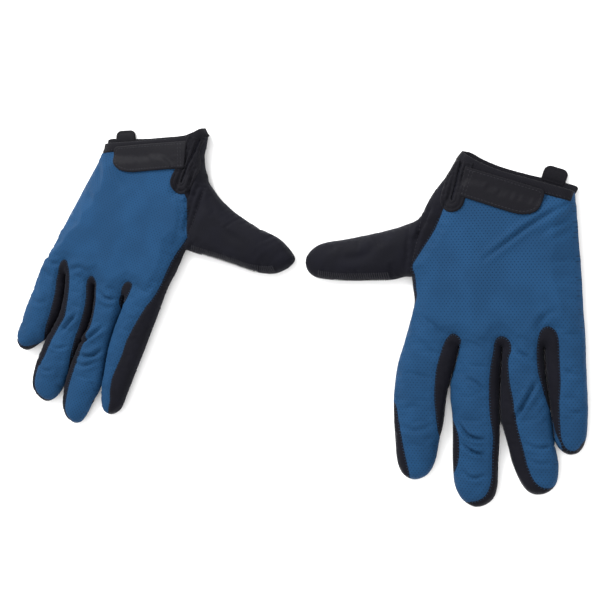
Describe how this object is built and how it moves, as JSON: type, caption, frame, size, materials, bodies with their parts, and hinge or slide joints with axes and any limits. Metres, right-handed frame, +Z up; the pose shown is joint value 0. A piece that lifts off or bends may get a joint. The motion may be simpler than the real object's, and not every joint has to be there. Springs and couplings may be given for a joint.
{
  "type": "sailing gloves",
  "caption": "Pair of full-finger gloves with mesh backs, dark palms, side-wall fingers and a hook-and-loop wrist strap.",
  "frame": {"origin": "under the middle of the pair, on the surface it lies on", "axes": "+X across the pair towards the left-hand glove, +Y towards the cuffs, +Z up from the palms to the backs"},
  "size_m": [0.4178, 0.2596, 0.0171],
  "materials": {
    "blue_mesh": "matt perforated knit",
    "black_stretch": "matt stretch knit",
    "palm_leather": "matt synthetic suede",
    "knit_binding": "ribbed tape",
    "strap_fabric": "smooth laminate",
    "fastener_tape": "hook and loop pile"
  },
  "bodies": {
    "left_hand": {"left_palm_panel": "palm_leather", "left_heel_pad": "palm_leather", "left_slit_binding": "knit_binding", "left_back_panel": "blue_mesh", "left_thumb_gore": "black_stretch", "left_index_side": "black_stretch", "left_heel_side": "black_stretch", "left_cuff_binding": "knit_binding", "left_loop_patch": "fastener_tape"},
    "left_thumb": {"left_thumb_palm": "palm_leather", "left_thumb_back": "black_stretch"},
    "left_index": {"left_index_palm": "palm_leather", "left_index_back": "blue_mesh", "left_index_inner_side": "black_stretch", "left_index_outer_side": "black_stretch"},
    "left_middle": {"left_middle_palm": "palm_leather", "left_middle_back": "blue_mesh", "left_middle_inner_side": "black_stretch", "left_middle_outer_side": "black_stretch"},
    "left_ring": {"left_ring_palm": "palm_leather", "left_ring_back": "blue_mesh", "left_ring_inner_side": "black_stretch", "left_ring_outer_side": "black_stretch"},
    "left_little": {"left_little_palm": "palm_leather", "left_little_back": "blue_mesh", "left_little_inner_side": "black_stretch", "left_little_outer_side": "black_stretch"},
    "left_strap": {"left_closure_strap": "strap_fabric", "left_hook_patch": "fastener_tape"},
    "left_tab": {"left_pull_tab": "strap_fabric"},
    "right_hand": {"right_palm_panel": "palm_leather", "right_heel_pad": "palm_leather", "right_slit_binding": "knit_binding", "right_back_panel": "blue_mesh", "right_thumb_gore": "black_stretch", "right_index_side": "black_stretch", "right_heel_side": "black_stretch", "right_cuff_binding": "knit_binding", "right_loop_patch": "fastener_tape"},
    "right_thumb": {"right_thumb_palm": "palm_leather", "right_thumb_back": "black_stretch"},
    "right_index": {"right_index_palm": "palm_leather", "right_index_back": "blue_mesh", "right_index_inner_side": "black_stretch", "right_index_outer_side": "black_stretch"},
    "right_middle": {"right_middle_palm": "palm_leather", "right_middle_back": "blue_mesh", "right_middle_inner_side": "black_stretch", "right_middle_outer_side": "black_stretch"},
    "right_ring": {"right_ring_palm": "palm_leather", "right_ring_back": "blue_mesh", "right_ring_inner_side": "black_stretch", "right_ring_outer_side": "black_stretch"},
    "right_little": {"right_little_palm": "palm_leather", "right_little_back": "blue_mesh", "right_little_inner_side": "black_stretch", "right_little_outer_side": "black_stretch"},
    "right_strap": {"right_closure_strap": "strap_fabric", "right_hook_patch": "fastener_tape"},
    "right_tab": {"right_pull_tab": "strap_fabric"}
  },
  "joints": [
    {"name": "right_glove_lift_off", "type": "slide", "parent": "left_hand", "child": "right_hand", "axis": [0, 0, 1], "range_m": [0, 0.15]},
    {"name": "left_index_knuckle", "type": "hinge", "parent": "left_hand", "child": "left_index", "pos_m": [0.10719, -0.02179, 0], "axis": [1, 0, 0], "range_deg": [0, 90]},
    {"name": "left_middle_knuckle", "type": "hinge", "parent": "left_hand", "child": "left_middle", "pos_m": [0.13939, -0.02179, 0], "axis": [1, 0, 0], "range_deg": [0, 90]},
    {"name": "left_ring_knuckle", "type": "hinge", "parent": "left_hand", "child": "left_ring", "pos_m": [0.16879, -0.02179, 0], "axis": [1, 0, 0], "range_deg": [0, 90]},
    {"name": "left_little_knuckle", "type": "hinge", "parent": "left_hand", "child": "left_little", "pos_m": [0.19469, -0.02179, 0], "axis": [1, 0, 0], "range_deg": [0, 90]},
    {"name": "left_thumb_base", "type": "hinge", "parent": "left_hand", "child": "left_thumb", "pos_m": [0.09849, 0.03761, 0], "axis": [0.0872, -0.9962, 0], "range_deg": [0, 60]},
    {"name": "left_strap_peel", "type": "hinge", "parent": "left_hand", "child": "left_strap", "pos_m": [0.13063, 0.08121, 0.0143], "axis": [-0.2181, -0.9759, 0], "range_deg": [0, 120]},
    {"name": "left_tab_fold", "type": "hinge", "parent": "left_hand", "child": "left_tab", "pos_m": [0.1871, 0.07859, 0.0024], "axis": [0.9445, -0.3284, 0], "range_deg": [0, 80]},
    {"name": "right_index_knuckle", "type": "hinge", "parent": "right_hand", "child": "right_index", "pos_m": [-0.09996, 0.00634, 0], "axis": [0.9511, -0.309, 0], "range_deg": [0, 90]},
    {"name": "right_middle_knuckle", "type": "hinge", "parent": "right_hand", "child": "right_middle", "pos_m": [-0.12688, 0.01508, 0], "axis": [0.9511, -0.309, 0], "range_deg": [0, 90]},
    {"name": "right_ring_knuckle", "type": "hinge", "parent": "right_hand", "child": "right_ring", "pos_m": [-0.15246, 0.02339, 0], "axis": [0.9511, -0.309, 0], "range_deg": [0, 90]},
    {"name": "right_little_knuckle", "type": "hinge", "parent": "right_hand", "child": "right_little", "pos_m": [-0.17415, 0.03044, 0], "axis": [0.9511, -0.309, 0], "range_deg": [0, 90]},
    {"name": "right_thumb_base", "type": "hinge", "parent": "right_hand", "child": "right_thumb", "pos_m": [-0.05714, 0.05593, 0], "axis": [0.342, 0.9397, 0], "range_deg": [0, 60]},
    {"name": "right_strap_peel", "type": "hinge", "parent": "right_hand", "child": "right_strap", "pos_m": [-0.06278, 0.10255, 0.0158], "axis": [0.0941, 0.9956, 0], "range_deg": [0, 120]},
    {"name": "right_tab_fold", "type": "hinge", "parent": "right_hand", "child": "right_tab", "pos_m": [-0.11806, 0.11776, 0.0024], "axis": [1, -0.0044, 0], "range_deg": [0, 80]}
  ]
}
